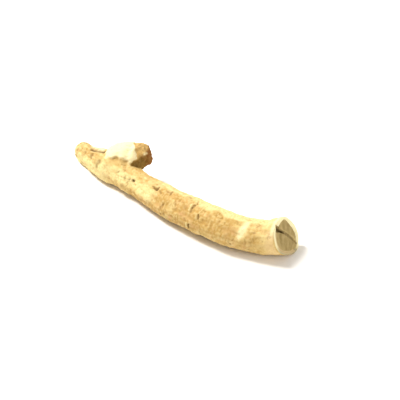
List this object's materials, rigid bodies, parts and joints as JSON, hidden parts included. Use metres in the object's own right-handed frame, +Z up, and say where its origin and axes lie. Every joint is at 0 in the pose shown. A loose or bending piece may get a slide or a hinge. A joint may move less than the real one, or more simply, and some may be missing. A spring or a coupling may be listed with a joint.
{
  "type": "ashwagandha root",
  "caption": "Dried ashwagandha root lying on its side: bent and tapered, sawn at a slant at the thick end, with a drying crack and a broken side-root stub.",
  "frame": {"origin": "on the ground under the middle of the root's box", "axes": "+X along the root from the thin end to the cut end, +Z up from the ground it lies on; the root's bend bows towards -Y"},
  "size_m": [0.1132, 0.0252, 0.0178],
  "materials": {
    "bark": "dry, dusty matte bark"
  },
  "bodies": {
    "root": {"root": "bark"}
  },
  "joints": []
}
